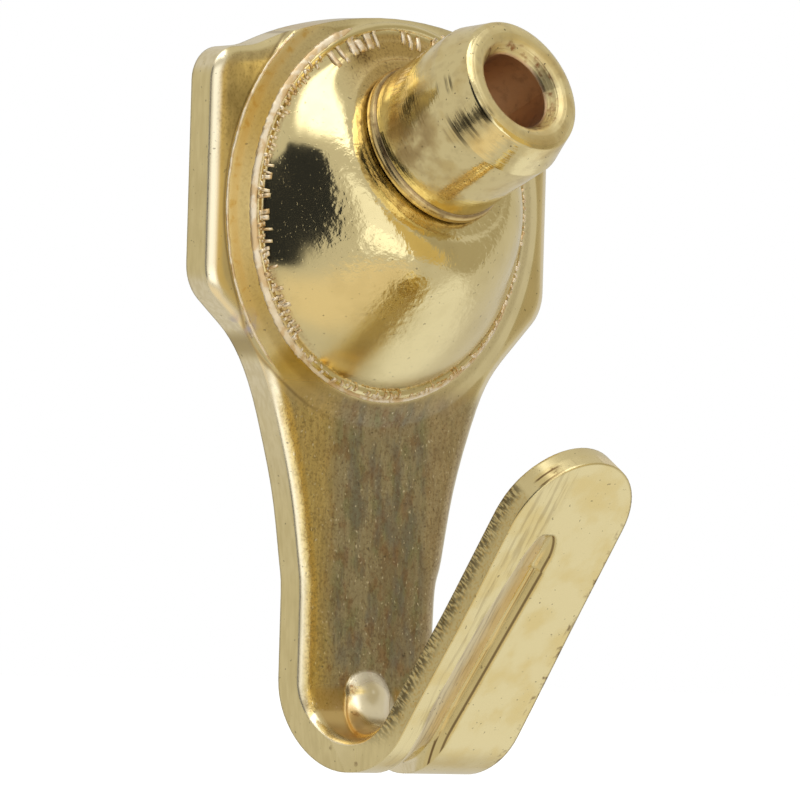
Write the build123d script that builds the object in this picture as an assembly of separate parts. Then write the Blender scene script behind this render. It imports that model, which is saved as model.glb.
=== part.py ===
from build123d import *
import math
import os

# Picture hook: a stamped, drawn and folded brass plate with a turned nail guide staked in its dome.
# Millimetres. X is the width, +Z is up and Y runs into the wall, so the front faces -Y.
# The shapes are drawn about the point on the wall plane behind the middle of the dome, and then
# lifted so that the origin is on the wall plane at the middle of the flat back of the shank.

DOME_HEIGHT = 14.0

# sheet
SHEET = 1.4
ROLL_RADIUS = 1.0
ROLL_SPARE = 0.28
PUNCH_SPARE = 0.8

# head, seen from the front
HEAD_HALF_WIDTH = 9.62
SHOULDER_Z = 6.45
SHOULDER_OUTER_Z = 6.2
TOP_ARC_RADIUS = 18.5
TOP_ARC_X = -0.1
TOP_Z = 7.84
TOP_CORNER_RADIUS = 1.4
SHOULDER_FILLET = 3.0
BOTTOM_CORNER_RADIUS = 1.8
LEFT_CORNER_Z = -3.37
RIGHT_CORNER_Z = -3.78
LEFT_NECK = [(7.7, -4.88), (6.46, -6.3), (5.67, -7.89), (5.1, -9.5), (4.39, -11.95), (3.95, -14.4)]
RIGHT_NECK = [(8.0, -5.3), (6.66, -6.7), (5.8, -8.37), (5.18, -10.03), (4.6, -12.1), (4.15, -14.4)]

# shank and fold
STRIP_HALF_WIDTH = 3.8
FOLD_Z = -19.17
FOLD_OUTER_RADIUS = 3.69
FOLD_HALF_WIDTH = 3.42
ARM_LEAN = 34.0
ARM_ROOT_HALF_WIDTH = 3.3
ARM_HALF_WIDTH = 3.18
ARM_LENGTH = 10.24
ARM_SHIFT = 0.05
ARM_TAPER_END = 6.5

# rib pressed along the fold and the arm
RIB_DEPTH = 0.46
GROOVE_WALL = 1.0
GROOVE_FOOT = 0.8
GROOVE_FLANKS = [(0.0, 0.85), (0.35, 0.75), (0.62, 1.15), (0.85, 1.15), (1.0, 0.95)]
RIDGE_HALF_WIDTH = 1.2
RIDGE_SIDE = 0.14
RIB_START = 1.0
RIB_END = 18.3
RIB_DRIFT = 1.6
RIB_RETURN = 0.63
GROOVE_RUN_OUT = 0.9

# raised band and drawn dome
BAND_OUTER_RADIUS = 8.85
BAND_INNER_RADIUS = 7.72
BAND_RISE = 0.42
DOME_RADIUS = 7.45
BEAD_HEIGHT = 0.14
DOME_WALL = 1.2
SEAT_TILT = 26.0
SEAT_FORWARD = 4.07
SEAT_HEIGHT = 2.57

# nail guide, with its rim given as radius and depth below the very end
BUSH_RADIUS = 3.38
BUSH_CYLINDER = 4.24
BUSH_LENGTH = 5.85
BUSH_COLLAR = 0.5
COLLAR_RADIUS = 3.5
BORE_RADIUS = 1.65
RIM_CREST = 2.42
RIM_OUTSIDE = [(2.82, 0.127), (2.91, 0.24)]
RIM_INSIDE = [(2.04, 0.113), (1.97, 0.18)]
FUNNEL_DEPTH = 0.64
TAIL_RADIUS = 2.3
TAIL_CLEARANCE = 0.02
FLARE_RADIUS = 2.95
FLARE_DEPTH = 0.55

tilt = math.radians(SEAT_TILT)
lean = math.radians(ARM_LEAN)
seat_centre = Vector(0, -SEAT_FORWARD, SEAT_HEIGHT)
seat_normal = Vector(0, -math.cos(tilt), math.sin(tilt))
seat_plane = Plane(origin=seat_centre, x_dir=(1, 0, 0), z_dir=seat_normal)
fold_centre = Vector(0, -FOLD_OUTER_RADIUS, FOLD_Z)
fold_turn = 180 - ARM_LEAN


def vertex_near(shape, x, y):
    """The vertex of a flat outline that lies nearest to a point."""
    return min(shape.vertices(), key=lambda v: math.hypot(v.X - x, v.Y - y))


def grown(points, first, grow):
    """Points down one side of the neck, moved outwards and square to it."""
    line = points + [(STRIP_HALF_WIDTH, FOLD_Z)]
    moved = []
    for number, point in enumerate(line):
        before = line[number - 1] if number else first
        after = line[number + 1] if number + 1 < len(line) else (point[0], point[1] - 1)
        if number + 1 == len(line):
            before = (point[0], point[1] + 1)
        run = Vector(after[0] - before[0], after[1] - before[1], 0).normalized()
        moved.append((point[0] - run.Y * grow, point[1] + run.X * grow))
    return moved


def neck_side(points, corner_z, side, grow):
    """One side of the head and neck, from the shoulder down to the fold."""
    w = HEAD_HALF_WIDTH
    run = Vector(points[0][0] - w, points[0][1] - corner_z, 0).normalized()
    start = (points[0][0] - run.X, points[0][1] - run.Y)
    line = grown(points, start, grow)
    corner = (w + grow, corner_z + grow * run.X / (1 - run.Y))
    sides = [
        Line((w + grow, SHOULDER_OUTER_Z + grow), corner),
        Line(corner, line[0]),
        Spline(*line, tangents=[(run.X, run.Y), (0, -1)]),
    ]
    return sides if side > 0 else [mirror(edge, Plane.YZ) for edge in sides], corner


def front_outline(grow=0.0):
    """Head, neck and shank in front view, drawn as x and height."""
    radius = TOP_ARC_RADIUS + grow
    top = TOP_Z + grow
    shoulder = SHOULDER_Z + grow
    drop = radius - (top - shoulder)
    reach = math.sqrt(radius ** 2 - drop ** 2)
    arc_left = (TOP_ARC_X - reach, shoulder)
    arc_right = (TOP_ARC_X + reach, shoulder)
    w = HEAD_HALF_WIDTH + grow
    outer = SHOULDER_OUTER_Z + grow
    foot = STRIP_HALF_WIDTH + grow
    left, left_corner = neck_side(LEFT_NECK, LEFT_CORNER_Z, -1, grow)
    right, right_corner = neck_side(RIGHT_NECK, RIGHT_CORNER_Z, 1, grow)
    edges = [
        ThreePointArc(arc_left, (TOP_ARC_X, top), arc_right),
        Line(arc_right, (w, outer)),
        *right,
        Line((foot, FOLD_Z), (-foot, FOLD_Z)),
        *left,
        Line((-w, outer), arc_left),
    ]
    outline = make_face(edges)
    for side, corner in ((-1, left_corner), (1, right_corner)):
        outline = fillet(vertex_near(outline, side * w, outer), TOP_CORNER_RADIUS + grow)
        outline = fillet(vertex_near(outline, side * w, corner[1]), BOTTOM_CORNER_RADIUS + grow)
    outline = fillet(vertex_near(outline, *arc_left), SHOULDER_FILLET - grow)
    outline = fillet(vertex_near(outline, *arc_right), SHOULDER_FILLET - grow)
    return outline


def flat_head(grow=0.0, thickness=SHEET):
    """Head and shank cut from flat sheet."""
    return extrude(Plane.XZ * front_outline(grow), thickness)


def raised_band():
    """The round band pressed forward in the head, rolled off where the top edge cuts it."""
    foot = -0.8
    front_low = (BAND_OUTER_RADIUS, -SHEET)
    front_high = (BAND_INNER_RADIUS, -SHEET - BAND_RISE)
    section = [
        Line((0, foot), (BAND_OUTER_RADIUS, foot)),
        Line((BAND_OUTER_RADIUS, foot), front_low),
        Line(front_low, front_high),
        Line(front_high, (0, -SHEET - BAND_RISE)),
        Line((0, -SHEET - BAND_RISE), (0, foot)),
    ]
    cone = revolve(make_face(section), Axis.Y, 360)
    cover = flat_head(ROLL_SPARE, SHEET + BAND_RISE)
    face = cover.faces().sort_by(Axis.Y)[0]
    cover = fillet(face.edges(), ROLL_RADIUS)
    return cone & cover & extrude(Plane.XZ * front_outline(), 6)


def band_hollow():
    """The shallow round hollow behind the band."""
    edge = (BAND_OUTER_RADIUS - 0.15, 0)
    floor = (BAND_INNER_RADIUS - 0.35, -BAND_RISE)
    section = [
        Line((0, 1), (edge[0], 1)),
        Line((edge[0], 1), edge),
        Line(edge, floor),
        Line(floor, (0, -BAND_RISE)),
        Line((0, -BAND_RISE), (0, 1)),
    ]
    return revolve(make_face(section), Axis.Y, 360)


def fold_plan(grow=0.0):
    """The fold seen from above, where the strip narrows towards the arm."""
    wide = STRIP_HALF_WIDTH + grow
    middle = FOLD_HALF_WIDTH + grow
    narrow = ARM_ROOT_HALF_WIDTH + grow
    start = -SHEET
    finish = -(FOLD_OUTER_RADIUS + (FOLD_OUTER_RADIUS - SHEET) * math.cos(lean))
    points = [(wide, start), (middle, -FOLD_OUTER_RADIUS), (narrow, finish)]
    side = Spline(*points, tangents=[(0, -1), (0, -1)])
    edges = [
        Line((wide, 1), (wide, start)),
        side,
        Line((narrow, finish), (narrow, finish - 3)),
        Line((narrow, finish - 3), (-narrow, finish - 3)),
        Line((-narrow, finish - 3), (-narrow, finish)),
        mirror(side, Plane.YZ),
        Line((-wide, start), (-wide, 1)),
        Line((-wide, 1), (wide, 1)),
    ]
    return extrude(Pos(0, 0, FOLD_Z - 6) * make_face(edges), 12)


def fold_front(grow=0.0):
    """The fold seen from the front, where the strip narrows towards the bottom."""
    wide = STRIP_HALF_WIDTH + grow
    narrow = FOLD_HALF_WIDTH + grow
    low = FOLD_Z - FOLD_OUTER_RADIUS
    side = Spline((wide, FOLD_Z), (narrow, low), tangents=[(0, -1), (-0.1, -1)])
    edges = [
        side,
        Line((narrow, low), (narrow, low - 1)),
        Line((narrow, low - 1), (-narrow, low - 1)),
        Line((-narrow, low - 1), (-narrow, low)),
        mirror(side, Plane.YZ),
        Line((-wide, FOLD_Z), (wide, FOLD_Z)),
    ]
    return extrude(Plane.XZ.offset(-1) * make_face(edges), 10)


def fold(grow=0.0, spare=0.0):
    """The strip turned forward round the bottom of the hook."""
    across = Plane(origin=(0, 0, FOLD_Z), x_dir=(1, 0, 0), z_dir=(0, 0, -1))
    section = across * Pos(0, SHEET / 2) * Rectangle(10, SHEET + 2 * spare)
    bar = revolve(section, Axis(fold_centre, (-1, 0, 0)), fold_turn)
    return bar & fold_plan(grow)


def fold_plane(turn, offset=0.0):
    """A plane square to the strip, a given angle round the fold, with Y to the inside."""
    a = math.radians(turn)
    outward = Vector(0, math.cos(a), -math.sin(a))
    along = Vector(0, -math.sin(a), -math.cos(a))
    origin = fold_centre + outward * FOLD_OUTER_RADIUS + Vector(offset, 0, 0)
    return Plane(origin=origin, x_dir=(1, 0, 0), z_dir=along)


def arm_outline(grow=0.0):
    """The free arm seen square on, from the end of the fold to its round tip."""
    root = ARM_ROOT_HALF_WIDTH + grow
    half = ARM_HALF_WIDTH + grow
    settled = ARM_TAPER_END
    left = Spline((-root, 0), (ARM_SHIFT - half, settled), tangents=[(0, 1), (0, 1)])
    right = Spline((root, 0), (ARM_SHIFT + half, settled), tangents=[(0, 1), (0, 1)])
    left_end = (ARM_SHIFT - half, ARM_LENGTH)
    right_end = (ARM_SHIFT + half, ARM_LENGTH)
    edges = [
        right,
        Line((ARM_SHIFT + half, settled), right_end),
        ThreePointArc(right_end, (ARM_SHIFT, ARM_LENGTH + half), left_end),
        Line(left_end, (ARM_SHIFT - half, settled)),
        left,
        Line((-root, 0), (root, 0)),
    ]
    return make_face(edges)


def arm(grow=0.0, spare=0.0):
    """The flat arm that leans out from the end of the fold."""
    end = fold_plane(fold_turn)
    outward = Vector(0, -math.cos(lean), -math.sin(lean))
    face = Plane(origin=end.origin + outward * spare, x_dir=(1, 0, 0), z_dir=outward)
    return extrude(face * arm_outline(grow), -SHEET - 2 * spare)


def punch():
    """What the blanking punch leaves: the strip's outline, taller than the sheet everywhere."""
    front = extrude(Plane.XZ.offset(-1) * front_outline(), 6)
    return front + (fold(0.0, PUNCH_SPARE) & fold_front()) + arm(0.0, PUNCH_SPARE)


def front_rim(sheet):
    """Every edge where the front of the sheet meets a sheared side."""
    inner = FOLD_OUTER_RADIUS - SHEET
    arm_frame = fold_plane(fold_turn)
    rim = []
    for edge in sheet.edges():
        p = edge.position_at(0.5)
        local = arm_frame.to_local_coords(p)
        reach = math.hypot(p.Y - fold_centre.Y, p.Z - fold_centre.Z)
        if p.Z > FOLD_Z + 0.01 and p.Y > -SHEET - 0.01:
            if abs(p.Y + SHEET) < 0.001:
                rim.append(edge)
        elif local.Z > 0.01:
            if abs(local.Y - SHEET) < 0.001:
                rim.append(edge)
        elif p.Z < FOLD_Z - 0.01 and abs(reach - inner) < 0.01 and local.Z < -0.01:
            rim.append(edge)
    return rim


def dome_section(low, high):
    """A round section of the dome, given its lowest and highest points as forward and height."""
    rise = Vector(0, low[0] - high[0], high[1] - low[1])
    middle = Vector(0, -(low[0] + high[0]) / 2, (low[1] + high[1]) / 2)
    facing = Vector(0, -rise.Z, rise.Y)
    return Plane(origin=middle, x_dir=(1, 0, 0), z_dir=facing) * Circle(rise.length / 2)


def seat_points(radius, depth):
    """Lowest and highest points of a circle on the seat, or a depth behind it."""
    centre = seat_centre - seat_normal * depth
    up = Vector(0, math.sin(tilt), math.cos(tilt))
    low = centre - up * radius
    high = centre + up * radius
    return (-low.Y, low.Z), (-high.Y, high.Z)


def dome_skin():
    """Outside of the dome: a round base drawn forward and closed by the tilted flat seat."""
    front = SHEET + BAND_RISE
    r = DOME_RADIUS
    sections = [
        dome_section((front - 0.03, -r), (front - 0.03, r)),
        dome_section((4.3, -5.2), (2.0, 6.9)),
        dome_section((5.75, -3.2), (2.05, 6.6)),
        dome_section((6.15, -2.1), (2.15, 6.3)),
        dome_section(*seat_points(4.0, 0)),
    ]
    root = Plane.XZ.offset(front - 0.9) * Circle(r)
    return loft(sections) + extrude(root, 0.87)


def foot_bead():
    """The small bead that the drawing ring leaves round the foot of the dome."""
    front = SHEET + BAND_RISE
    inner = DOME_RADIUS - 0.15
    outer = DOME_RADIUS + 0.23
    section = Polyline(
        (inner, 0.3 - front),
        (inner, -front),
        (DOME_RADIUS - 0.03, -front - BEAD_HEIGHT),
        (DOME_RADIUS + 0.11, -front - BEAD_HEIGHT),
        (outer, -front),
        (outer, 0.3 - front),
        close=True,
    )
    return revolve(make_face(section), Axis.Y, 360)


def dome_hollow():
    """The space behind the dome, one wall thickness inside it."""
    r = DOME_RADIUS - DOME_WALL
    sections = [
        dome_section((0.5, -r), (0.5, r)),
        dome_section((3.55, -4.25), (0.9, 5.95)),
        dome_section((4.75, -2.45), (1.15, 5.65)),
        dome_section(*seat_points(3.55, DOME_WALL)),
    ]
    mouth = Plane.XZ.offset(-0.5) * Circle(r)
    return loft(sections) + extrude(mouth, 1.0)


def strip_plane(station, offset):
    """A plane square to the strip at a length along its back, zero where the fold starts."""
    round_fold = FOLD_OUTER_RADIUS * math.radians(fold_turn)
    if station < 0:
        origin = (offset, 0, FOLD_Z - station)
        return Plane(origin=origin, x_dir=(1, 0, 0), z_dir=(0, 0, -1))
    if station <= round_fold:
        return fold_plane(math.degrees(station / FOLD_OUTER_RADIUS), offset)
    end = fold_plane(fold_turn, offset)
    return end.offset(station - round_fold)


def rib_drift(station):
    """Sideways place of the rib, which wanders off the middle of the strip as it goes round."""
    round_fold = FOLD_OUTER_RADIUS * math.radians(fold_turn)
    share = min(max(station / round_fold, 0.0), 1.0)
    back = max(station - round_fold, 0.0) / (RIB_END - round_fold)
    return 0.1 - RIB_DRIFT * math.sin(share * math.pi / 2) + RIB_RETURN * back


def groove_section(share, depth=RIB_DEPTH, narrow=0.0):
    """The groove's section: a steep wall on one side and a long easy flank on the other."""
    flank = -narrow
    for (low, a), (high, b) in zip(GROOVE_FLANKS, GROOVE_FLANKS[1:]):
        if low <= share <= high:
            flank += a + (b - a) * (share - low) / (high - low)
    foot_x = GROOVE_FOOT - narrow
    wall = GROOVE_WALL + 0.1 - narrow
    foot = (foot_x, depth * 0.83)
    bed = (foot_x - 0.22, depth)
    edge = (-flank, -0.03)
    edges = [
        Line((-flank, -0.25), (wall, -0.25)),
        Line((wall, -0.25), foot),
        ThreePointArc(foot, (foot_x - 0.08, depth * 0.955), bed),
        Spline(bed, (-narrow / 2, depth * 0.68), edge, tangents=[(-1, 0), (-1, -0.16)]),
        Line(edge, (-flank, -0.25)),
    ]
    return make_face(edges)


def groove():
    """The groove down the outside of the strip, which runs out in a round end near the tip."""
    steps = 16
    start = RIB_START
    finish = RIB_END - GROOVE_RUN_OUT
    sections = []
    for step in range(steps + 1):
        share = step / steps
        station = start + (finish - start) * share
        sections.append(strip_plane(station, rib_drift(station)) * groove_section(share))
    ends = []
    for turn in (0, 25, 45, 60, 72, 80):
        share = math.sin(math.radians(turn))
        left = math.cos(math.radians(turn))
        station = finish + (GROOVE_RUN_OUT + 1) * share
        section = groove_section(1.0, RIB_DEPTH * left, GROOVE_FOOT * 0.8 * (1 - left))
        ends.append(strip_plane(station, rib_drift(station)) * section)
    plane = strip_plane(start, rib_drift(start))
    foot = (GROOVE_FOOT, RIB_DEPTH * 0.83)
    bed = (GROOVE_FOOT - 0.22, RIB_DEPTH)
    start_end = make_face([
        Line((0, -0.25), (GROOVE_WALL + 0.1, -0.25)),
        Line((GROOVE_WALL + 0.1, -0.25), foot),
        ThreePointArc(foot, (GROOVE_FOOT - 0.08, RIB_DEPTH * 0.955), bed),
        Line(bed, (0, RIB_DEPTH)),
        Line((0, RIB_DEPTH), (0, -0.25)),
    ])
    start_end = revolve(plane * start_end, Axis(plane.origin, plane.y_dir), 180)
    return [loft(sections), loft(ends), start_end]


def ridge_section(low, whole=True):
    """The round-topped ridge that stands inside the strip behind the groove."""
    foot = RIDGE_HALF_WIDTH + 0.05
    side = (RIDGE_HALF_WIDTH, SHEET + RIDGE_SIDE)
    crown = (0, SHEET + RIB_DEPTH)
    mirrored = (-side[0], side[1])
    if whole:
        edges = [
            Line((-foot, low), (foot, low)),
            Line((foot, low), side),
            ThreePointArc(side, crown, mirrored),
            Line(mirrored, (-foot, low)),
        ]
    else:
        rise = RIB_DEPTH - RIDGE_SIDE
        radius = (RIDGE_HALF_WIDTH ** 2 + rise ** 2) / (2 * rise)
        turn = math.asin(RIDGE_HALF_WIDTH / radius) / 2
        half_way = (radius * math.sin(turn), crown[1] - radius * (1 - math.cos(turn)))
        edges = [
            Line((0, low), (foot, low)),
            Line((foot, low), side),
            ThreePointArc(side, half_way, crown),
            Line(crown, (0, low)),
        ]
    return make_face(edges)


def ridge():
    """The ridge round the inside of the fold and up the arm, with a half round end at each end."""
    steps = 16
    low = SHEET - 0.3
    sections = []
    for step in range(steps + 1):
        station = RIB_START + (RIB_END - RIB_START) * step / steps
        sections.append(strip_plane(station, rib_drift(station)) * ridge_section(low))
    ends = []
    for station, way in ((RIB_START, 1), (RIB_END, -1)):
        plane = strip_plane(station, rib_drift(station))
        half = plane * ridge_section(low, False)
        ends.append(revolve(half, Axis(plane.origin, plane.y_dir * way), 180))
    return loft(sections) + ends


def hook_plate():
    """The stamped sheet with its rolled front edge, rib, dome and bush hole."""
    sheet = flat_head(ROLL_SPARE) + fold(ROLL_SPARE) + arm(ROLL_SPARE)
    sheet = fillet(front_rim(sheet), ROLL_RADIUS)
    sheet &= punch()
    sheet += raised_band()
    sheet -= band_hollow()
    sheet += ridge()
    for solid in groove():
        sheet -= solid
    sheet += dome_skin()
    sheet += foot_bead()
    sheet -= dome_hollow()
    hole = extrude(seat_plane.offset(-DOME_WALL - 1) * Circle(TAIL_RADIUS + TAIL_CLEARANCE), 2 + DOME_WALL)
    return sheet - hole


def nail_bush():
    """The turned nail guide, with a bead at its foot and a tail flared behind the dome's wall."""
    axis_plane = Plane(origin=seat_centre, x_dir=(1, 0, 0), z_dir=Vector(1, 0, 0).cross(seat_normal))
    behind = -DOME_WALL
    end = behind - FLARE_DEPTH
    top = BUSH_LENGTH
    crest = (RIM_CREST, top)
    outside = [(radius, top - depth) for radius, depth in RIM_OUTSIDE]
    inside = [(radius, top - depth) for radius, depth in RIM_INSIDE]
    collar = COLLAR_RADIUS
    edges = [
        Line((BORE_RADIUS, end), (BORE_RADIUS, top - FUNNEL_DEPTH)),
        Line((BORE_RADIUS, top - FUNNEL_DEPTH), inside[1]),
        Spline(inside[1], inside[0], crest, outside[0], outside[1],
               tangents=[(0.57, 0.82), (0.34, -0.94)]),
        Line(outside[1], (BUSH_RADIUS - 0.01, BUSH_CYLINDER + 0.05)),
        Line((BUSH_RADIUS - 0.01, BUSH_CYLINDER + 0.05), (BUSH_RADIUS - 0.03, BUSH_COLLAR + 0.08)),
        Line((BUSH_RADIUS - 0.03, BUSH_COLLAR + 0.08), (collar - 0.04, BUSH_COLLAR - 0.04)),
        ThreePointArc(
            (collar - 0.04, BUSH_COLLAR - 0.04),
            (collar + 0.01, BUSH_COLLAR / 2),
            (collar - 0.16, 0),
        ),
        Line((collar - 0.16, 0), (TAIL_RADIUS, 0)),
        Line((TAIL_RADIUS, 0), (TAIL_RADIUS, behind)),
        Line((TAIL_RADIUS, behind), (FLARE_RADIUS, behind)),
        Line((FLARE_RADIUS, behind), (FLARE_RADIUS - 0.25, end)),
        Line((FLARE_RADIUS - 0.25, end), (BORE_RADIUS, end)),
    ]
    section = axis_plane * make_face(edges)
    return revolve(section, Axis(seat_centre, seat_normal), 360)


os.makedirs("parts", exist_ok=True)
lift = Pos(0, 0, DOME_HEIGHT)
export_step(lift * hook_plate(), "parts/hook_plate.step")
export_step(lift * nail_bush(), "parts/nail_bush.step")
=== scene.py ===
from math import cos, pi, radians, sin
from random import Random

import bmesh
import bpy
from mathutils import Matrix, Vector
from mathutils.bvhtree import BVHTree


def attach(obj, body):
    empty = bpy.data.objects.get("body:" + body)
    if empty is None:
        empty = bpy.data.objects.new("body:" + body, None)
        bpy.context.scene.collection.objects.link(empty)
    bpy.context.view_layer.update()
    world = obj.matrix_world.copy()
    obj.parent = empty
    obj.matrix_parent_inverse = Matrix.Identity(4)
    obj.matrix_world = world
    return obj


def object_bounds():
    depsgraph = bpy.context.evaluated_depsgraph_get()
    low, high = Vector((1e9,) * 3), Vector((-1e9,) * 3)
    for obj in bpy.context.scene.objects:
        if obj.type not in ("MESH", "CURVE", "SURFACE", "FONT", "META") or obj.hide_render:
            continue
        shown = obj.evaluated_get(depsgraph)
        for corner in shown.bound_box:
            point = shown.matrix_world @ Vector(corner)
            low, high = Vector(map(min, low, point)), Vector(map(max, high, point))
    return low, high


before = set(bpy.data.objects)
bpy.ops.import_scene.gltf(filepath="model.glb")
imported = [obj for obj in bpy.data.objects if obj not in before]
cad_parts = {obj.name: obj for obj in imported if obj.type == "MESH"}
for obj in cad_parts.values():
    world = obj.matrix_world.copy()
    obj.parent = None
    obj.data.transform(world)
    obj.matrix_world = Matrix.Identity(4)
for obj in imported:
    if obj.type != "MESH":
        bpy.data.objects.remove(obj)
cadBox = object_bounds()
scene = bpy.context.scene

mm = 0.001
domeZ = 14.0  # millimetres from the frame's origin up to the dome's middle
seatTilt = 26.0  # degrees by which the nail guide's axis rises from level
seatForward = 4.07  # millimetres from the wall to the middle of the dome's seat
seatHeight = 2.57  # millimetres from the dome's middle up to it
seatCentre = Vector((0, -seatForward, domeZ + seatHeight))


# small helpers
def linear(hexColour):
    parts = [int(hexColour[i:i + 2], 16) / 255 for i in (1, 3, 5)]
    return [c / 12.92 if c < 0.04045 else ((c + 0.055) / 1.055) ** 2.4 for c in parts] + [1.0]


def put(tree, kind, sockets=None, **settings):
    node = tree.nodes.new(kind)
    for name, value in settings.items():
        setattr(node, name, value)
    for socket, value in (sockets or {}).items():
        if isinstance(value, bpy.types.NodeSocket):
            tree.links.new(value, node.inputs[socket])
        else:
            node.inputs[socket].default_value = value
    return node


def newTree(owner):
    owner.use_nodes = True
    owner.node_tree.nodes.clear()
    return owner.node_tree


def direction(azimuth, elevation):
    a, e = radians(azimuth), radians(elevation)
    return Vector((sin(a) * cos(e), -cos(a) * cos(e), sin(e)))


# camera
cameraSet = dict(azimuth=-44.14, elevation=-1.48, roll=1.65, distance=580 * mm, viewWidth=32.65 * mm,
                 right=1.676 * mm, up=-7.723 * mm, sensor=36)


def makeCamera(s):
    away = direction(s["azimuth"], s["elevation"])
    side = Vector((cos(radians(s["azimuth"])), sin(radians(s["azimuth"])), 0))
    top = away.cross(side)
    turn = radians(s["roll"])
    right = side * cos(turn) + top * sin(turn)
    up = top * cos(turn) - side * sin(turn)
    middle = Vector((0, 0, domeZ * mm))
    place = middle + away * s["distance"]
    aim = middle + right * s["right"] + up * s["up"]
    back = (place - aim).normalized()
    right = (right - back * right.dot(back)).normalized()
    up = back.cross(right)
    data = bpy.data.cameras.new("camera")
    data.sensor_width = s["sensor"]
    data.lens = s["sensor"] * s["distance"] / s["viewWidth"]
    data.clip_start, data.clip_end = 0.01, 20
    camera = bpy.data.objects.new("camera", data)
    turned = Matrix((right, up, back)).transposed().to_4x4()
    turned.translation = place
    camera.matrix_world = turned
    scene.collection.objects.link(camera)
    scene.camera = camera


makeCamera(cameraSet)
print("camera made")


# studio: a pale room, with cards that only the polished metal sees
studio = dict(
    lightLevel=0.66,  # the room as it lights the object
    metalLevel=0.62,  # the room as polished metal reflects it
    metalTint="#FFFAF0",
    floorDrop=12 * mm,  # from the object's lowest point down to the floor
    floorSize=3.0,
    floorColour="#F4F3F0",
    floorLift=0.55,  # added for the camera alone
)
# each card: azimuth and elevation of its middle, width and height in degrees, level, soft edge, tint
cards = dict(
    softboxHigh=dict(azimuth=-22, elevation=68, wide=62, high=50, level=2.1, soft=0.45, tint="#FFFFFF"),
    stripFront=dict(azimuth=-15, elevation=2, wide=47, high=84, level=1.1, soft=0.4, tint="#FFFFFF"),
    stripLow=dict(azimuth=-14, elevation=-14, wide=38, high=38, level=1.45, soft=0.7, tint="#FFFFFF"),
    cameraSide=dict(azimuth=-64, elevation=5, wide=42, high=92, level=0.036, soft=0.12, tint="#E4ECFF"),
    warmFront=dict(azimuth=17, elevation=2, wide=42, high=60, level=1.0, soft=0.4, tint="#D2BC84"),
    oliveRight=dict(azimuth=48, elevation=10, wide=36, high=96, level=0.44, soft=0.3, tint="#FFF3D6"),
    paleLow=dict(azimuth=-26, elevation=-50, wide=88, high=42, level=0.84, soft=0.6, tint="#FFEFD2"),
    paleRight=dict(azimuth=72, elevation=-46, wide=64, high=44, level=0.86, soft=0.5, tint="#FFFFFF"),
)
cardsAway = 0.9  # metres from the dome to the nearest card
cardsApart = 0.01  # each is a little farther than the last, so none share a plane


def makeCard(name, s, away):
    bm = bmesh.new()
    bm.loops.layers.uv.new("UVMap")
    bmesh.ops.create_grid(bm, x_segments=1, y_segments=1, size=0.5, calc_uvs=True)
    wide = 2 * away * sin(radians(s["wide"] / 2))
    high = 2 * away * sin(radians(s["high"] / 2))
    bmesh.ops.scale(bm, vec=(wide, high, 1), verts=bm.verts)
    back = direction(s["azimuth"], s["elevation"])
    turn = back.to_track_quat("Z", "Y").to_matrix().to_4x4()
    turn.translation = Vector((0, 0, domeZ * mm)) + back * away
    bm.transform(turn)
    mesh = bpy.data.meshes.new(name)
    bm.to_mesh(mesh)
    bm.free()
    card = bpy.data.objects.new(name, mesh)
    scene.collection.objects.link(card)
    material = bpy.data.materials.new(name + "Cloth")
    tree = newTree(material)
    # the card fades out towards its edges, so that its reflection has no hard border
    place = put(tree, "ShaderNodeTexCoord")
    centred = put(tree, "ShaderNodeVectorMath", {0: place.outputs["UV"], 1: (0.5, 0.5, 0)},
                  operation="SUBTRACT")
    axes = put(tree, "ShaderNodeSeparateXYZ", {0: centred.outputs[0]})
    fades = []
    for axis in ("X", "Y"):
        size = put(tree, "ShaderNodeMath", {0: axes.outputs[axis]}, operation="ABSOLUTE")
        fades.append(put(tree, "ShaderNodeMapRange",
                         {"Value": size.outputs[0], "From Min": 0.5, "From Max": 0.5 - s["soft"] / 2},
                         interpolation_type="SMOOTHSTEP").outputs[0])
    cover = put(tree, "ShaderNodeMath", {0: fades[0], 1: fades[1]}, operation="MULTIPLY")
    glow = put(tree, "ShaderNodeEmission", {"Color": linear(s["tint"]), "Strength": s["level"]})
    clear = put(tree, "ShaderNodeBsdfTransparent")
    cloth = put(tree, "ShaderNodeMixShader",
                {0: cover.outputs[0], 1: clear.outputs[0], 2: glow.outputs[0]})
    put(tree, "ShaderNodeOutputMaterial", {"Surface": cloth.outputs[0]})
    mesh.materials.append(material)
    card.visible_camera = False
    card.visible_shadow = False
    card.visible_diffuse = False


def makeFloor(s):
    bm = bmesh.new()
    bmesh.ops.create_grid(bm, x_segments=1, y_segments=1, size=s["floorSize"] / 2)
    bmesh.ops.translate(bm, vec=(0, 0, cadBox[0].z - s["floorDrop"]), verts=bm.verts)
    mesh = bpy.data.meshes.new("floor")
    bm.to_mesh(mesh)
    bm.free()
    floor = bpy.data.objects.new("floor", mesh)
    scene.collection.objects.link(floor)
    material = bpy.data.materials.new("paleFloor")
    tree = newTree(material)
    # the camera sees the paint lifted to white, and the shadow stays in the paint
    path = put(tree, "ShaderNodeLightPath")
    paint = put(tree, "ShaderNodeBsdfDiffuse", {"Color": linear(s["floorColour"])})
    lift = put(tree, "ShaderNodeMath", {0: path.outputs["Is Camera Ray"], 1: s["floorLift"]},
               operation="MULTIPLY")
    glow = put(tree, "ShaderNodeEmission", {"Color": (1, 1, 1, 1), "Strength": lift.outputs[0]})
    both = put(tree, "ShaderNodeAddShader", {0: paint.outputs[0], 1: glow.outputs[0]})
    put(tree, "ShaderNodeOutputMaterial", {"Surface": both.outputs[0]})
    mesh.materials.append(material)
    floor.visible_glossy = False


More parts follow.
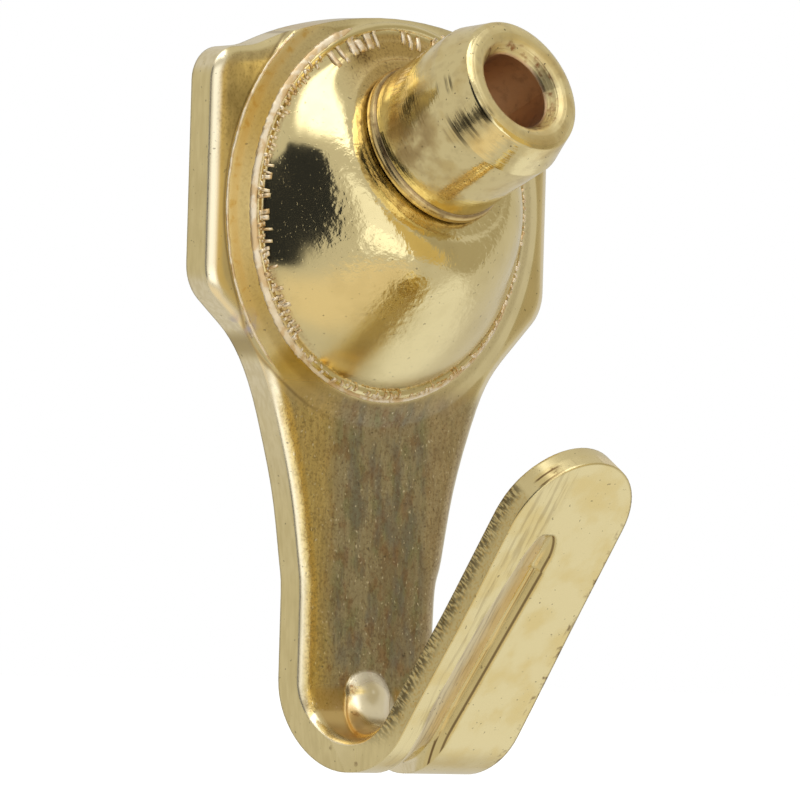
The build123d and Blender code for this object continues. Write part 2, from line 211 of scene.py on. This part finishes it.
def makeWorld(s):
    world = bpy.data.worlds.new("studio")
    scene.world = world
    tree = newTree(world)
    path = put(tree, "ShaderNodeLightPath")
    room = put(tree, "ShaderNodeBackground", {"Color": (1, 1, 1, 1), "Strength": s["lightLevel"]})
    metal = put(tree, "ShaderNodeBackground",
                {"Color": linear(s["metalTint"]), "Strength": s["metalLevel"]})
    white = put(tree, "ShaderNodeBackground", {"Color": (1, 1, 1, 1), "Strength": 1.0})
    inMetal = put(tree, "ShaderNodeMixShader",
                  {0: path.outputs["Is Glossy Ray"], 1: room.outputs[0], 2: metal.outputs[0]})
    seen = put(tree, "ShaderNodeMixShader",
               {0: path.outputs["Is Camera Ray"], 1: inMetal.outputs[0], 2: white.outputs[0]})
    put(tree, "ShaderNodeOutputWorld", {"Surface": seen.outputs[0]})


for number, (cardName, cardSet) in enumerate(cards.items()):
    makeCard(cardName, cardSet, cardsAway + number * cardsApart)
makeFloor(studio)
makeWorld(studio)
scene.view_settings.view_transform = "Standard"
print("studio made")


# materials: masks are one on their own part of the metal and nothing elsewhere
# several masks at once, each a socket or a number
def product(tree, *masks):
    total = masks[0]
    for mask in masks[1:]:
        total = put(tree, "ShaderNodeMath", {0: total, 1: mask}, operation="MULTIPLY").outputs[0]
    return total


# one inside a range of a value, with soft ends, and None where an end is open
def window(tree, value, low, high, soft):
    ends = []
    for end, reach in ((low, soft), (high, -soft)):
        if end is not None:
            span = {"Value": value, "From Min": end - reach, "From Max": end + reach}
            ends.append(put(tree, "ShaderNodeMapRange", span, interpolation_type="SMOOTHSTEP").outputs[0])
    return product(tree, *ends)


# one within the core of a radius round a point, fading to nothing at the radius
def spot(tree, place, centre, radius, core=0.35):
    away = put(tree, "ShaderNodeVectorMath", {0: place, 1: centre}, operation="DISTANCE").outputs["Value"]
    return put(tree, "ShaderNodeMapRange", {"Value": away, "From Min": radius, "From Max": radius * core},
               interpolation_type="SMOOTHSTEP").outputs[0]


# a noise in patches per millimetre, cut off softly between two of its levels
# real grit, pits, grain and lathe rings are too fine to show, so they are drawn as coarse as they need
def cloud(tree, place, scale, low, high, detail=4.0, stretch=(1, 1, 1)):
    drawn = put(tree, "ShaderNodeVectorMath", {0: place, 1: stretch}, operation="MULTIPLY")
    noise = put(tree, "ShaderNodeTexNoise", {"Vector": drawn.outputs[0], "Scale": scale, "Detail": detail})
    return put(tree, "ShaderNodeMapRange", {"Value": noise.outputs[0], "From Min": low, "From Max": high},
               interpolation_type="SMOOTHSTEP").outputs[0]


# the place in millimetres and the facing of the surface
def millimetres(tree):
    place = put(tree, "ShaderNodeTexCoord")
    scaled = put(tree, "ShaderNodeVectorMath", {0: place.outputs["Object"], "Scale": 1 / mm},
                 operation="SCALE")
    return scaled.outputs[0], place.outputs["Normal"]


# colour layers, rougher patches and fine relief, joined in one metal shader
def finishMetal(material, tree, s, layers, roughPatches, bumps):
    # a mix node takes colours at sockets 6 and 7, and numbers at 2 and 3
    colour = linear(s["colour"])
    for mask, shade in layers:
        colour = put(tree, "ShaderNodeMix", {0: mask, 6: colour, 7: linear(shade)},
                     data_type="RGBA").outputs[2]
    rough = s["roughness"]
    for mask, level in roughPatches:
        rough = put(tree, "ShaderNodeMix", {0: mask, 2: rough, 3: level}, data_type="FLOAT").outputs[0]
    # plating builds up over every edge, so edges shine as if they were slightly rounded
    normal = put(tree, "ShaderNodeBevel", {"Radius": s["edgeRadius"] * mm}, samples=8).outputs[0]
    for height, depth in bumps:
        relief = {"Height": height, "Strength": 1.0, "Distance": depth * mm, "Normal": normal}
        normal = put(tree, "ShaderNodeBump", relief).outputs[0]
    skin = put(tree, "ShaderNodeBsdfPrincipled",
               {"Base Color": colour, "Metallic": 1.0, "Roughness": rough, "Normal": normal})
    put(tree, "ShaderNodeOutputMaterial", {"Surface": skin.outputs[0]})
    return material


# colours, then roughness from mirror-like to matt, then depths, places and sizes in millimetres
plateFinish = dict(
    colour="#EFDFA9", olive="#CDBB84", amber="#CBA045", dull="#B8AE92", umber="#6B4A26", soot="#352B20",
    pewter="#C6BCC4", straw="#EBD084", tan="#D2BE94", pale="#FFF5DA", rust="#9A7040",
    mossy="#969C72", russet="#A2744A", slate="#8E8E8A",
    roughness=0.09, dullRoughness=0.28, cutRoughness=0.3, mattRoughness=0.5, edgeRadius=0.18,
    peelScale=3.4, peelDepth=0.006, grainScale=5.0, grainDepth=0.003, pitDepth=0.0015,
    teethInner=7.2, teethOuter=7.58, bandInner=7.85, bandOuter=8.86, bandMiddle=8.3,
    shankTop=6.2, armLean=34.0, armFace=9.64, sheet=1.4, grooveFoot=9.2, grooveLip=9.54,
    wornPlace=(-7.5, -1.3, 9.2), wornRadius=0.8,
    stains=(((-1.9, -13.6, 3.6), 0.3, "umber"), ((-2.2, -2.1, 20.4), 0.8, "umber"),
            ((-1.2, -1.6, -5.5), 0.3, "rust"), ((-1.5, -2.2, -6.5), 0.25, "rust"),
            ((-2.2, -3.0, -7.3), 0.2, "rust"), ((-3.6, -2.9, -7.9), 0.14, "umber"),
            ((-3.4, -4.2, -8.5), 0.14, "umber")),
)


# brass-plated sheet, stamped and drawn: mirror-like on the dome, duller and grained on the shank
def brassPlatedSheet(s):
    material = bpy.data.materials.new("brassPlatedSheet")
    tree = newTree(material)
    place, normal = millimetres(tree)
    flat = put(tree, "ShaderNodeVectorMath", {0: place, 1: (0, 0, domeZ)}, operation="SUBTRACT")
    flat = put(tree, "ShaderNodeVectorMath", {0: flat.outputs[0], 1: (1, 0, 1)}, operation="MULTIPLY")
    radius = put(tree, "ShaderNodeVectorMath", {0: flat.outputs[0]}, operation="LENGTH").outputs["Value"]
    axes = put(tree, "ShaderNodeSeparateXYZ", {0: place})
    x, y, z = axes.outputs[0], axes.outputs[1], axes.outputs[2]
    facing = put(tree, "ShaderNodeSeparateXYZ", {0: normal})
    faceX, faceY, faceZ = facing.outputs[0], facing.outputs[1], facing.outputs[2]
    sideways = put(tree, "ShaderNodeMath", {0: faceX}, operation="ABSOLUTE").outputs[0]
    frontal = put(tree, "ShaderNodeMath", {0: faceY}, operation="ABSOLUTE").outputs[0]
    aside = put(tree, "ShaderNodeMath", {0: x}, operation="ABSOLUTE").outputs[0]
    lean = radians(s["armLean"])
    depthInArm = put(tree, "ShaderNodeVectorMath", {0: place, 1: (0, -cos(lean), -sin(lean))},
                     operation="DOT_PRODUCT").outputs["Value"]
    upArm = put(tree, "ShaderNodeVectorMath", {0: place, 1: (0, -sin(lean), cos(lean))},
                operation="DOT_PRODUCT").outputs["Value"]
    alongSide = put(tree, "ShaderNodeCombineXYZ", {0: depthInArm, 1: upArm}).outputs[0]
    alongFace = put(tree, "ShaderNodeCombineXYZ", {0: x, 1: upArm}).outputs[0]

    # where things are: all outside the dome, and the dome within its foot
    offDome = window(tree, radius, 7.9, None, 0.1)
    onDome = window(tree, radius, None, s["teethInner"], 0.1)
    # the sheared sides, and the edge that the die rolled between them and the front
    cutSide = product(tree, window(tree, frontal, None, 0.12, 0.06), window(tree, sideways, 0.5, None, 0.3),
                      window(tree, radius, 8.9, None, 0.05))
    roll = product(tree, window(tree, radius, 9.0, None, 0.1), window(tree, sideways, 0.28, 0.95, 0.06),
                   window(tree, y, -5.0, None, 0.3), window(tree, depthInArm, None, 8.7, 0.1))
    # the arm: its sheared side, the inner part of its thickness, its outer face and the groove
    armSide = product(tree, window(tree, sideways, 0.9, None, 0.05), window(tree, aside, 2.8, None, 0.05),
                      window(tree, y, None, -3.6, 0.6), window(tree, radius, 9.5, None, 0.1),
                      window(tree, z, -7.2, None, 0.8))
    armInside = window(tree, depthInArm, None, s["armFace"] - 0.4 * s["sheet"], 0.3)
    armFace = product(tree, window(tree, depthInArm, s["armFace"] - 0.6, None, 0.05),
                      window(tree, sideways, None, 0.6, 0.1))
    armFlank = product(tree, armFace, window(tree, x, -2.7, -0.9, 0.25))
    armEdge = product(tree, armFace, window(tree, x, 2.95, None, 0.06))
    grooveWall = product(tree, window(tree, depthInArm, s["grooveFoot"] - 0.2, None, 0.05),
                         window(tree, faceX, None, -0.55, 0.1), window(tree, aside, None, 2.5, 0.1))
    grooveFlank = product(tree, armFace, window(tree, faceX, 0.08, None, 0.04))
    wallLines = [window(tree, depthInArm, s[edge] - 0.045, s[edge] + 0.045, 0.02)
                 for edge in ("grooveFoot", "grooveLip")]
    # the shank, and the fold with the pressed ridge inside it
    shank = product(tree, window(tree, z, None, s["shankTop"], 0.8), window(tree, y, -1.75, -1.2, 0.05),
                    window(tree, sideways, None, 0.5, 0.2))
    shankLeftReflection = product(tree, shank, window(tree, x, None, -2.5, 0.7))
    shankRightReflection = product(tree, shank, window(tree, x, 2.9, None, 0.4))
    shankDarkReflection = product(tree, shank, window(tree, x, 0.2, 2.4, 1.0), window(tree, z, -5.0, 1.0, 2.0))
    foldInside = product(tree, window(tree, z, -8.2, -5.4, 0.5), window(tree, y, -4.8, -1.3, 0.15),
                         window(tree, faceZ, 0.1, None, 0.1), window(tree, aside, 1.3, 3.2, 0.2))
    ridge = product(tree, window(tree, z, -8.4, -3.0, 0.2), window(tree, y, -5.0, -1.47, 0.04),
                    window(tree, aside, None, 1.25, 0.1), window(tree, faceZ, -0.4, None, 0.1))
    # the head's flat, the dome and the raised band round it
    headFlat = product(tree, window(tree, z, 8.5, None, 1.5), window(tree, radius, 8.9, None, 0.1),
                       window(tree, y, -1.45, -1.2, 0.03), window(tree, frontal, 0.9, None, 0.05))
    corner = product(tree, headFlat, window(tree, z, 16.0, None, 1.5))
    domeLow = product(tree, onDome, window(tree, z, None, 11.0, 1.5))
    domeTop = product(tree, onDome, window(tree, z, 17.8, None, 1.2), window(tree, x, -3.0, None, 1.5))
    leftwards = window(tree, x, None, -3.5, 2.0)
    teethTarnishAndShade = product(tree, window(tree, radius, s["teethInner"], s["teethOuter"], 0.06),
                    window(tree, z, 8.6, 18.5, 1.5), window(tree, y, None, -1.5, 0.05))
    bandInner = window(tree, radius, s["bandInner"], s["bandMiddle"], 0.15)
    bandOuter = product(tree, leftwards, window(tree, z, 9.5, None, 2.5),
                        window(tree, radius, s["bandMiddle"], s["bandOuter"] - 0.15, 0.15))
    bandLow = product(tree, window(tree, radius, s["bandInner"], 9.2, 0.1), window(tree, z, None, 6.7, 0.9))
    creaseShade = product(tree, leftwards, window(tree, radius, s["bandOuter"], s["bandOuter"] + 0.12, 0.06))
    # the hammered skin is strongest near the seat and dies out towards the foot
    shoulder = put(tree, "ShaderNodeMapRange", {"Value": radius, "From Min": 6.2, "From Max": 5.0,
                                                "To Min": 0.06, "To Max": 1.0}).outputs[0]

    # tarnish and wear, with painted highlights, painted reflections and painted shade among the layers
    mottle = cloud(tree, place, 0.7, 0.42, 0.68)  # blotches of 1.4 mm
    fineMottle = cloud(tree, place, 2.6, 0.5, 0.7)  # blotches of 0.4 mm
    grain = cloud(tree, place, s["grainScale"], 0.35, 0.65, 5.0, (1.0, 1.0, 0.16))  # rolled, up the sheet
    grit = cloud(tree, place, 9.0, 0.45, 0.7, 3.0)  # grains of 0.1 mm
    streak = cloud(tree, place, 1.6, 0.35, 0.6, 5.0, (1.0, 1.0, 0.5))
    shear = cloud(tree, alongSide, 1.0, 0.4, 0.57, 4.0, (2.2, 9.0, 1.0))  # tears 0.1 mm apart
    drawn = cloud(tree, alongFace, 1.0, 0.45, 0.65, 4.0, (5.0, 0.5, 1.0))  # die lines 0.2 mm apart
    specks = cloud(tree, place, 6.0, 0.72, 0.78, 1.0)  # dirt
    paintedGlints = cloud(tree, place, 8.0, 0.64, 0.76, 2.0, (1.0, 1.0, 0.6))  # painted glints: bright specks of highlight
    pits = cloud(tree, place, 9.0, 0.66, 0.74, 1.0)
    worn = spot(tree, place, s["wornPlace"], s["wornRadius"])
    # patches of 0.6 to 1 mm in which the plating has gone dull
    mossyPatch = cloud(tree, place, 1.3, 0.45, 0.65, 3.0, (1.0, 1.0, 0.6))
    russetPatch = cloud(tree, place, 1.75, 0.5, 0.68, 3.0, (1.0, 1.0, 0.7))
    slatePatch = cloud(tree, place, 1.05, 0.45, 0.65, 3.0, (1.3, 1.0, 0.5))
    layers = [
        (product(tree, mottle, 0.22), s["olive"]),
        (product(tree, domeTop, 0.55), s["amber"]),
        (product(tree, domeTop, grit, 0.35), s["umber"]),
        # painted highlight: the die-rolled edge painted pale, so that it shines white
        (product(tree, roll, 0.7), s["pale"]),
        # painted reflection: amber on the raised band, on its left side only
        (product(tree, bandOuter, 0.55), s["amber"]),
        (product(tree, bandOuter, fineMottle, 0.7), s["amber"]),
        (product(tree, bandInner, leftwards, 0.35), s["amber"]),
        (product(tree, bandInner, 0.6), s["olive"]),
        (product(tree, bandLow, 0.3), s["amber"]),
        (product(tree, bandLow, 0.22), s["umber"]),
        (product(tree, bandInner, grit, 0.15), s["umber"]),
        (product(tree, shank, 0.8), s["dull"]),
        # painted dark reflection across the middle of the shank
        (product(tree, shankDarkReflection, 0.3), s["umber"]),
        (product(tree, shank, mossyPatch, 0.5), s["mossy"]),
        (product(tree, shank, russetPatch, 0.45), s["russet"]),
        (product(tree, shank, slatePatch, 0.55), s["slate"]),
        # painted reflections: a straw band beside the shank's left edge and a tan band beside its right
        # edge
        (product(tree, shankLeftReflection, 0.85), s["straw"]),
        (product(tree, shankRightReflection, 0.75), s["tan"]),
        (product(tree, shank, grain, 0.2), s["umber"]),
        (product(tree, shank, grit, 0.4), s["umber"]),
        # painted glints: bright specks of highlight over the shank
        (product(tree, shank, paintedGlints, 0.8), s["pale"]),
        # painted highlight: the pressed ridge painted pale
        (product(tree, ridge, 0.6), s["pale"]),
        # painted shade: amber inside the fold, on the faces that look up
        (product(tree, foldInside, 0.6), s["amber"]),
        (product(tree, headFlat, 0.15), s["amber"]),
        # painted dark reflection, in grit and streaks, in the head's top corner
        (product(tree, corner, grit, 0.25), s["umber"]),
        (product(tree, corner, streak, 0.25), s["umber"]),
        # tarnish and painted shade in the plate between the chatter marks
        (product(tree, teethTarnishAndShade, 0.25), s["rust"]),
        (product(tree, teethTarnishAndShade, grit, 0.6), s["rust"]),
        # painted shade in the crease at the band's outer edge, on the left side
        (product(tree, creaseShade, 0.5), s["umber"]),
        (product(tree, cutSide, grain, 0.3), s["olive"]),
        (product(tree, armSide, 0.6), s["olive"]),
        (product(tree, armSide, grit, 0.5), s["amber"]),
        (product(tree, armSide, armInside, shear, 0.75), s["soot"]),
        (product(tree, armFace, mottle, 0.45), s["straw"]),
        # painted highlight: the groove's flank that faces right painted pale
        (product(tree, grooveFlank, 0.6), s["pale"]),
        (product(tree, armFlank, drawn, 0.28), s["umber"]),
        # painted shade along the right edge of the arm's face, mottled
        (product(tree, armEdge, fineMottle, 0.8), s["umber"]),
        (product(tree, grooveWall, 0.35), s["straw"]),
        # painted shade: dark lines at the foot and the lip of the groove's wall
        (product(tree, grooveWall, wallLines[0], 0.85), s["umber"]),
        (product(tree, grooveWall, wallLines[1], 0.75), s["umber"]),
        (product(tree, specks, 0.5), s["soot"]),
        (product(tree, worn, streak, 0.9), s["pewter"]),
    ]
    for centre, reach, shade in s["stains"]:
        stain = spot(tree, place, centre, reach)
        layers += [(product(tree, stain, 0.35), s[shade]), (product(tree, stain, grit, 0.8), s[shade])]
    roughPatches = [
        (product(tree, offDome, 0.4), s["dullRoughness"]),
        (product(tree, shank, 0.9), s["dullRoughness"]),
        (product(tree, domeLow, 0.7), s["dullRoughness"]),
        (product(tree, domeTop, 0.8), s["dullRoughness"]),
        (foldInside, s["cutRoughness"]),
        (product(tree, ridge, 0.6), s["dullRoughness"]),
        (product(tree, armFace, 0.9), s["dullRoughness"]),
        (grooveFlank, s["mattRoughness"]),
        (bandLow, s["mattRoughness"]),
        (cutSide, s["cutRoughness"]),
        (headFlat, s["cutRoughness"]),
        (product(tree, mottle, 0.25), s["dullRoughness"]),
    ]
    peel = cloud(tree, place, s["peelScale"], 0.3, 0.7, 2.0)
    bumps = [(product(tree, peel, shoulder), s["peelDepth"]),
             (product(tree, shank, grit), s["grainDepth"]),
             (product(tree, pits, onDome), s["pitDepth"])]
    return finishMetal(material, tree, s, layers, roughPatches, bumps)


# the same for the nail guide, with heights along its axis from the seat
bushFinish = dict(
    colour="#EFDFA9", olive="#D3B774", bronze="#D0A862", copper="#DFBF9C", rust="#9A5A30",
    umber="#6B4428", soot="#33281C",
    roughness=0.1, dullRoughness=0.24, boreRoughness=0.42, edgeRadius=0.08,
    boreRadius=1.72, funnelTop=5.3, lipRadius=2.0, rimStart=5.1, collarTop=0.5,
    tarnishPlace=(-3.3, -6.0, 17.0), tarnishRadius=2.4,
    ringScale=9.0, ringDepth=0.0012, rimDepth=0.006, peelScale=4.0, peelDepth=0.0015,
    darkReflections=(((-2.92, -8.82, 17.23), 1.0), ((-2.54, -9.74, 17.77), 0.5), ((-3.22, -8.08, 18.96), 0.55)),
)


# brass turned on a lathe: fine rings about the axis, a worn bright rim and a dull coppery bore
def turnedBrass(s):
    material = bpy.data.materials.new("turnedBrass")
    tree = newTree(material)
    place = millimetres(tree)[0]
    axis = Vector((0, -cos(radians(seatTilt)), sin(radians(seatTilt))))
    fromSeat = put(tree, "ShaderNodeVectorMath", {0: place, 1: seatCentre}, operation="SUBTRACT").outputs[0]
    height = put(tree, "ShaderNodeVectorMath", {0: fromSeat, 1: axis},
                 operation="DOT_PRODUCT").outputs["Value"]
    along = put(tree, "ShaderNodeVectorMath", {0: axis, "Scale": height}, operation="SCALE").outputs[0]
    outward = put(tree, "ShaderNodeVectorMath", {0: fromSeat, 1: along}, operation="SUBTRACT").outputs[0]
    radius = put(tree, "ShaderNodeVectorMath", {0: outward}, operation="LENGTH").outputs["Value"]
    lathe = put(tree, "ShaderNodeCombineXYZ", {0: radius, 1: height}).outputs[0]

    # where things are
    bore = product(tree, window(tree, radius, None, s["boreRadius"], 0.03),
                   window(tree, height, None, s["funnelTop"], 0.08))
    seam = window(tree, height, s["collarTop"], s["collarTop"] + 0.12, 0.04)
    seat = window(tree, height, -0.2, 0.1, 0.05)
    collar = window(tree, height, -0.2, s["collarTop"] + 0.05, 0.05)
    end = window(tree, height, s["rimStart"], None, 0.1)
    rim = product(tree, end, window(tree, radius, s["boreRadius"], 2.7, 0.05))
    lip = product(tree, end, window(tree, radius, s["boreRadius"] - 0.06, s["lipRadius"], 0.06))
    tarnish = spot(tree, place, s["tarnishPlace"], s["tarnishRadius"])

    # tarnish and wear, and painted dark reflections
    mottle = cloud(tree, place, 0.8, 0.42, 0.66)  # blotches of 1.2 mm
    fineMottle = cloud(tree, place, 2.4, 0.48, 0.72)  # blotches of 0.4 mm
    rings = cloud(tree, lathe, s["ringScale"], 0.3, 0.7, 3.0)  # tool marks 0.1 mm apart
    ringStreaks = cloud(tree, lathe, 6.0, 0.46, 0.58, 2.0)  # streaks round the axis, in which the painted dark reflections lie
    specks = cloud(tree, place, 6.0, 0.72, 0.78, 1.0)  # dirt
    layers = [
        (product(tree, mottle, 0.5), s["olive"]),
        (product(tree, fineMottle, 0.15), s["umber"]),
        (product(tree, tarnish, mottle, 0.45), s["umber"]),
        (product(tree, collar, 0.4), s["bronze"]),
        (product(tree, collar, fineMottle, 0.5), s["umber"]),
        (product(tree, seam, 0.6), s["umber"]),
        (product(tree, lip, fineMottle, 0.9), s["rust"]),
        (product(tree, seat, 0.8), s["soot"]),
        (product(tree, specks, 0.7), s["soot"]),
    ]
    # painted dark reflections on the guide's side, in streaks round its axis
    for centre, reach in s["darkReflections"]:
        layers.append((product(tree, spot(tree, place, centre, reach), ringStreaks, 0.75), s["soot"]))
    layers += [
        (bore, s["copper"]),
        (product(tree, bore, fineMottle, 0.25), s["umber"]),
    ]
    roughPatches = [(product(tree, mottle, 0.7), s["dullRoughness"]), (collar, s["dullRoughness"]),
                    (rim, s["boreRoughness"]), (bore, s["boreRoughness"])]
    peel = cloud(tree, place, s["peelScale"], 0.3, 0.7, 2.0)
    bumps = [(rings, s["ringDepth"]), (product(tree, rings, rim), s["rimDepth"]), (peel, s["peelDepth"])]
    return finishMetal(material, tree, s, layers, roughPatches, bumps)


paleMarkFinish = dict(colour="#FFF1D6", amber="#E2BE80", roughness=0.48, edgeRadius=0.02)


# pale satin brass for the raised marks: paler than the plate, so that they stand out
def paleMarkBrass(s):
    material = bpy.data.materials.new("paleMarkBrass")
    tree = newTree(material)
    place = millimetres(tree)[0]
    patches = cloud(tree, place, 1.8, 0.45, 0.6)
    layers = [(product(tree, patches, 0.7), s["amber"])]
    return finishMetal(material, tree, s, layers, [], [])


def dress(node, material):
    node.data.materials.clear()
    node.data.materials.append(material)


plateBrass = brassPlatedSheet(plateFinish)
bushBrass = turnedBrass(bushFinish)
markBrass = paleMarkBrass(paleMarkFinish)
dress(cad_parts["hook_plate"], plateBrass)
dress(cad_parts["nail_bush"], bushBrass)
print("materials made")


# raised marks that lie on the plate's front, which is found from the plate's own faces
def plateFront():
    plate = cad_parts["hook_plate"]
    points = [plate.matrix_world @ vertex.co for vertex in plate.data.vertices]
    return BVHTree.FromPolygons(points, [tuple(face.vertices) for face in plate.data.polygons])


front = plateFront()
rayStart = -30  # millimetres, well ahead of the whole part
frontLimit = -1.0  # millimetres: what lies nearer the wall than this isn't the front


# a point on the plate's front, given about the dome's middle, raised off it by a lift
def onFront(radius, angle, lift):
    start = Vector((radius * cos(angle) * mm, rayStart * mm, (domeZ + radius * sin(angle)) * mm))
    hit, facing = front.ray_cast(start, Vector((0, 1, 0)))[:2]
    if hit is None or hit.y > frontLimit * mm:
        return None
    if facing.y > 0:
        facing = -facing
    return hit + facing * lift * mm


# a strip through rows of points, closed at both ends, without the rows that have left the plate
def addStrip(bm, rows):
    rows = [row for row in rows if row]
    for near, far in zip(rows, rows[1:]):
        for left in range(len(near) - 1):
            bm.faces.new((near[left], near[left + 1], far[left + 1], far[left]))
        bm.faces.new((near[-1], near[0], far[0], far[-1]))
    bm.faces.new(rows[0])
    bm.faces.new(rows[-1])


def addRow(bm, places):
    if None in places:
        return None
    return [bm.verts.new(place) for place in places]


weldWithin = 0.0001  # millimetres


def makePiece(name, bm, material):
    bmesh.ops.remove_doubles(bm, verts=bm.verts, dist=weldWithin * mm)
    bmesh.ops.recalc_face_normals(bm, faces=bm.faces)
    for face in bm.faces:
        face.smooth = True
    mesh = bpy.data.meshes.new(name)
    bm.to_mesh(mesh)
    bm.free()
    mesh.materials.append(material)
    piece = bpy.data.objects.new(name, mesh)
    scene.collection.objects.link(piece)
    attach(piece, "root")


# chatter: the short marks that the drawing ring leaves round the foot of the dome, by groups
# angles in degrees about the dome's middle, the rest in millimetres, missing a share of the marks
chatter = dict(
    footLeft=dict(start=126, end=226, pitch=2.0, missing=0.05, inner=7.18, outer=7.62, halfWidth=0.12,
                  raised=0.1),
    footLow=dict(start=226, end=430, pitch=1.9, missing=0.1, inner=7.45, outer=7.74, halfWidth=0.12,
                 raised=0.08),
    crown=dict(start=72, end=124, pitch=4.0, missing=0.15, inner=6.72, outer=7.4, halfWidth=0.2,
               raised=0.1),
)
# how far a mark may stray from its group's values, and how it is built
dash = dict(shift=0.3, slant=0.014, width=(0.55, 1.3), inner=(-0.1, 0.12), outer=(-0.2, 0.08), rows=6,
            sunk=0.03)


def addDash(bm, s, luck, degrees):
    middle = radians(degrees + luck.uniform(-dash["shift"], dash["shift"]) * s["pitch"])
    slant = luck.uniform(-dash["slant"], dash["slant"])
    width = s["halfWidth"] * luck.uniform(*dash["width"])
    inner = s["inner"] + luck.uniform(*dash["inner"])
    outer = s["outer"] + luck.uniform(*dash["outer"])
    rows = []
    for step in range(dash["rows"]):
        share = step / (dash["rows"] - 1)
        radius = inner + (outer - inner) * share
        swell = s["raised"] * sin(pi * (0.1 + 0.8 * share))
        angle = middle + slant * (share - 0.5)
        # across the mark: sunk in the plate at both sides and rounded between them
        slope = ((-1, -dash["sunk"]), (-0.5, 0.75 * swell), (0, swell), (0.5, 0.75 * swell),
                 (1, -dash["sunk"]))
        rows.append(addRow(bm, [onFront(radius, angle + across * width / radius, lift)
                                for across, lift in slope]))
    addStrip(bm, rows)


def makeChatter(groups, material):
    luck = Random(7)
    bm = bmesh.new()
    for s in groups.values():
        degrees = s["start"]
        while degrees < s["end"]:
            if luck.random() > s["missing"]:
                addDash(bm, s, luck, degrees)
            degrees += s["pitch"]
    makePiece("chatterMarks", bm, material)


makeChatter(chatter, markBrass)
print("chatter marks made")


# pressing lines: thin raised lines where the band meets the flat and the dome's foot
# angles in degrees about the dome's middle, the rest in millimetres
pressLines = dict(
    footBead=dict(radius=7.71, halfWidth=0.2, raised=0.07, start=108, end=238),
    lowerBead=dict(radius=7.74, halfWidth=0.1, raised=0.06, start=226, end=330),
    creaseLine=dict(radius=8.78, halfWidth=0.08, raised=0.05, start=108, end=228),
)
# how a line wanders off its radius, swells along its length, and is built, with a stride in degrees
hairline = dict(stride=0.75, steady=0.8, stray=0.006, swell=0.25, wave=0.7, width=(0.85, 1.1), sunk=0.02)


def makeLine(name, s, material):
    luck = Random(name)
    bm = bmesh.new()
    rows = []
    steps = int((s["end"] - s["start"]) / hairline["stride"])
    wander = 0.0
    for step in range(steps + 1):
        angle = radians(s["start"] + (s["end"] - s["start"]) * step / steps)
        wander = hairline["steady"] * wander + luck.uniform(-hairline["stray"], hairline["stray"])
        taper = min(1, 0.15 + 5 * sin(pi * step / steps))  # runs out at both ends
        swell = 1 - hairline["swell"] + hairline["swell"] * sin(step * hairline["wave"])
        raised = s["raised"] * swell * taper
        width = s["halfWidth"] * taper * luck.uniform(*hairline["width"])
        profile = ((-1, -hairline["sunk"]), (-0.5, 0.7 * raised), (0.5, 0.7 * raised),
                   (1, -hairline["sunk"]))
        rows.append(addRow(bm, [onFront(s["radius"] + wander + across * width, angle, lift)
                                for across, lift in profile]))
    addStrip(bm, rows)
    makePiece(name, bm, material)


for lineName, lineSet in pressLines.items():
    makeLine(lineName, lineSet, markBrass)
print("pressing lines made")
